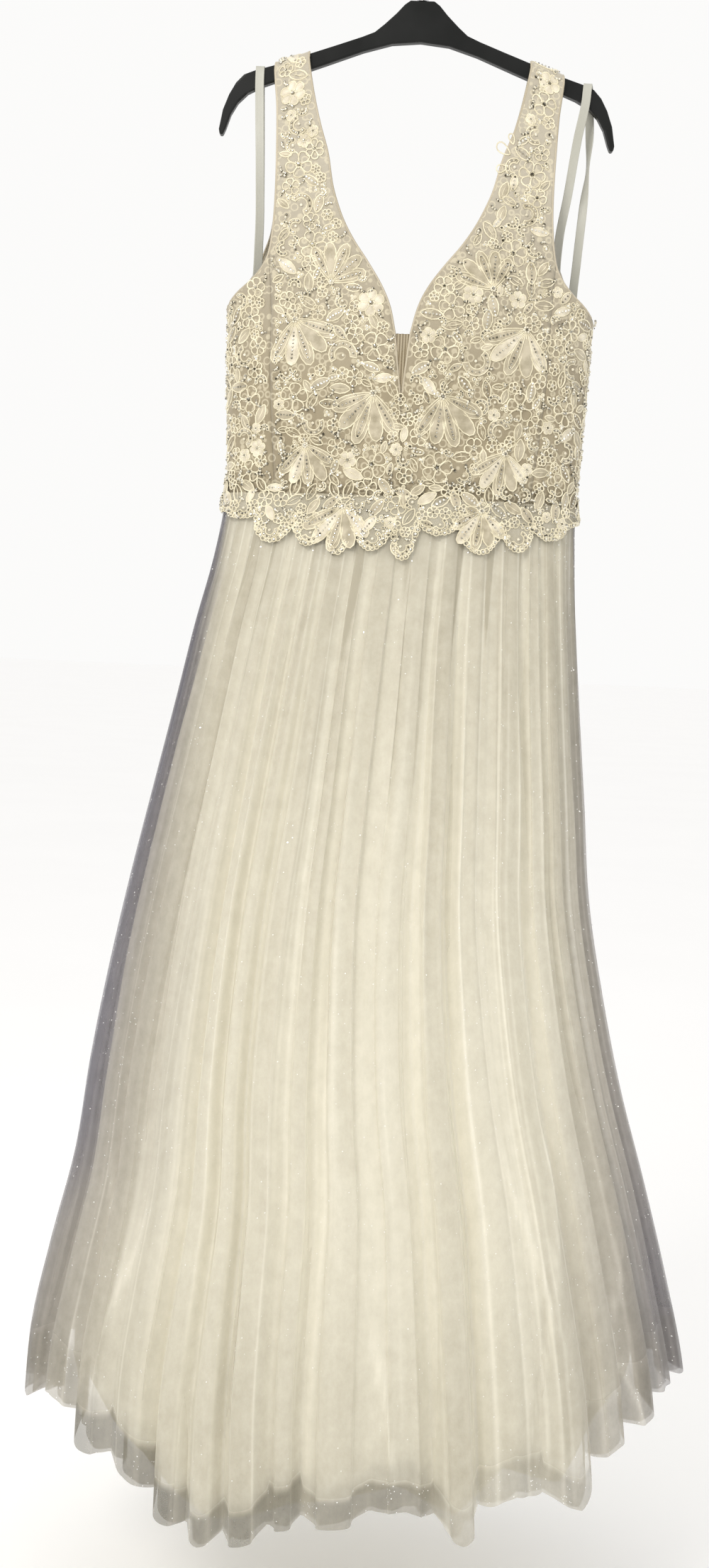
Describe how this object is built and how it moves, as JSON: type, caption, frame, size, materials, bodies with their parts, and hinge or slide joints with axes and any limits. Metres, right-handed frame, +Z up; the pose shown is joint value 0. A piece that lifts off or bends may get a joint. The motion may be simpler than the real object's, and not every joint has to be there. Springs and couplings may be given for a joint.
{
  "type": "wedding dress on a clothes hanger",
  "caption": "Sleeveless V-neck lace bodice with a gathered tulle skirt over a lining, hung by wide straps and ribbon loops on a hanger with an open wire hook.",
  "frame": {"origin": "inside top of the hanger's hook, where a rail carries it", "axes": "+Z up; the front of the dress faces -Y; +X is to the right as seen from the front"},
  "size_m": [0.7219, 0.5164, 1.635],
  "materials": {
    "bodice_lace": "corded floral lace with beads and sequins over champagne lining",
    "notch_tulle": "sheer nude mesh",
    "skirt_tulle": "soft tulle with fine glitter",
    "skirt_lining": "ivory satin lining",
    "ribbon_satin": "narrow satin ribbon",
    "hanger_black": "satin black moulded plastic",
    "hook_steel": "bright plated wire"
  },
  "bodies": {
    "root": {"front_left": "bodice_lace", "front_right": "bodice_lace", "side_front_left": "bodice_lace", "side_front_right": "bodice_lace", "back_left": "bodice_lace", "back_right": "bodice_lace", "back_placket": "bodice_lace", "notch_mesh": "notch_tulle", "border_front": "bodice_lace", "border_back": "bodice_lace", "skirt_front": "skirt_tulle", "skirt_back": "skirt_tulle", "lining_front": "skirt_lining", "lining_back": "skirt_lining", "ribbon_left": "ribbon_satin", "ribbon_right": "ribbon_satin", "hanger_body": "hanger_black", "hook_collar": "hook_steel", "hook": "hook_steel"}
  },
  "joints": []
}
